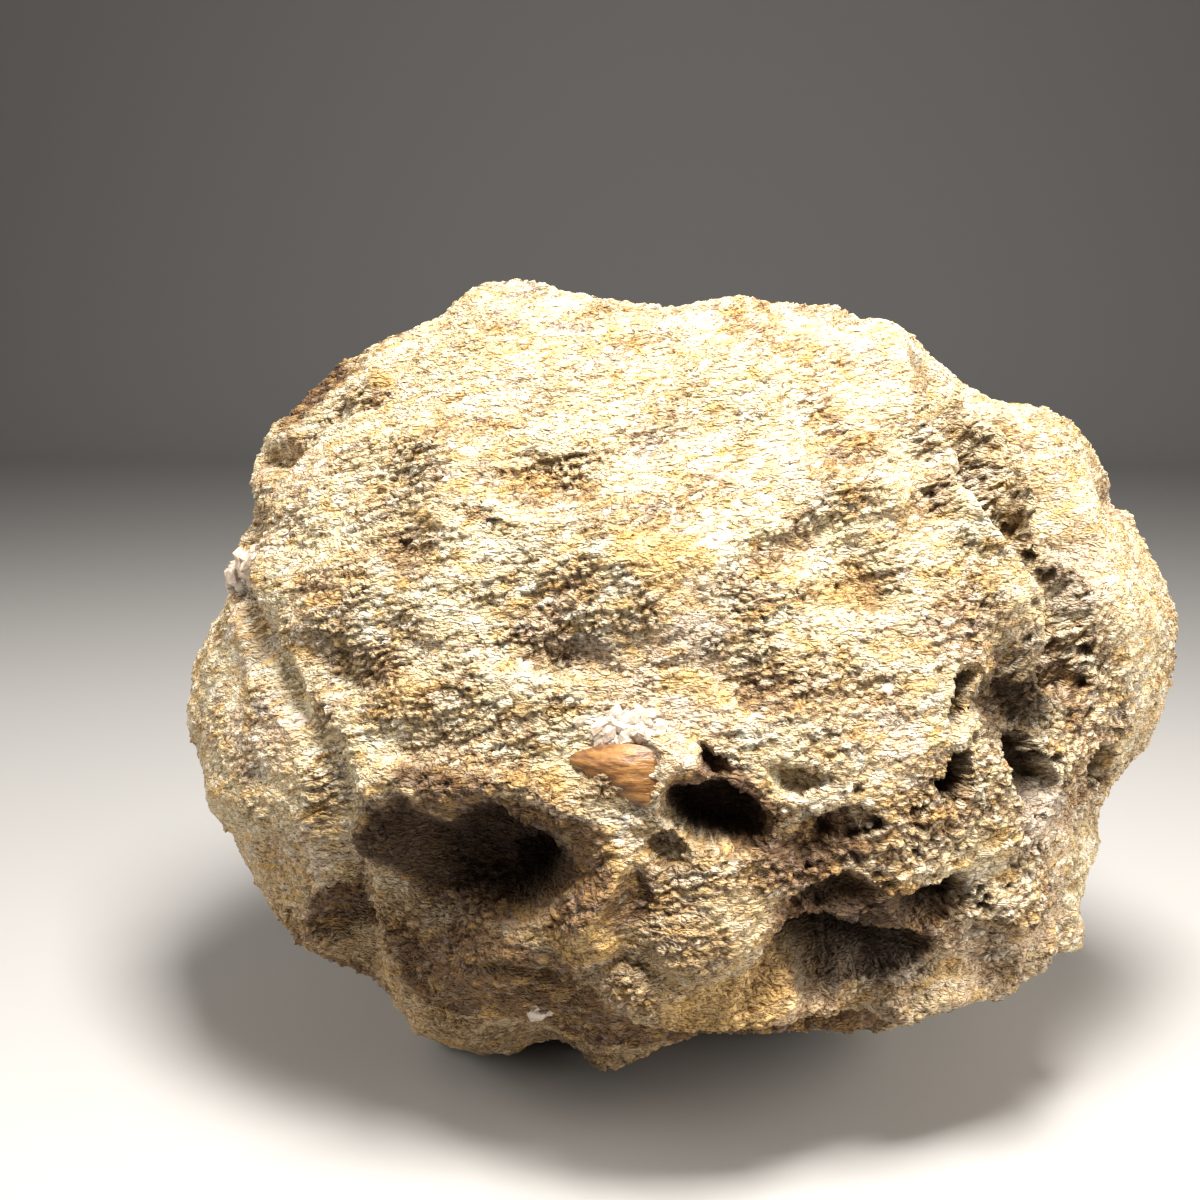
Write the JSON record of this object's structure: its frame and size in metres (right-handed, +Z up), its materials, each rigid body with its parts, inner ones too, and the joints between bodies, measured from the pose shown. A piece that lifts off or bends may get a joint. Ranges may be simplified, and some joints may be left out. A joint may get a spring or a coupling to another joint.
{
  "type": "unopened geode",
  "caption": "Rounded lump of natural rock with a rough, spongy rind, hollows under an overhanging brow and a small flat spot to rest on.",
  "frame": {"origin": "middle of the small flat spot that the stone rests on", "axes": "+Z up; +X along the stone's width, to the right seen from its hollowed front; -Y towards that front"},
  "size_m": [0.1945, 0.1473, 0.148],
  "materials": {
    "rind": "dry, rough, chalky rind with iron-brown stains, grey mineral patches and one small glassy window of banded quartz"
  },
  "bodies": {
    "root": {"geode": "rind"}
  },
  "joints": []
}
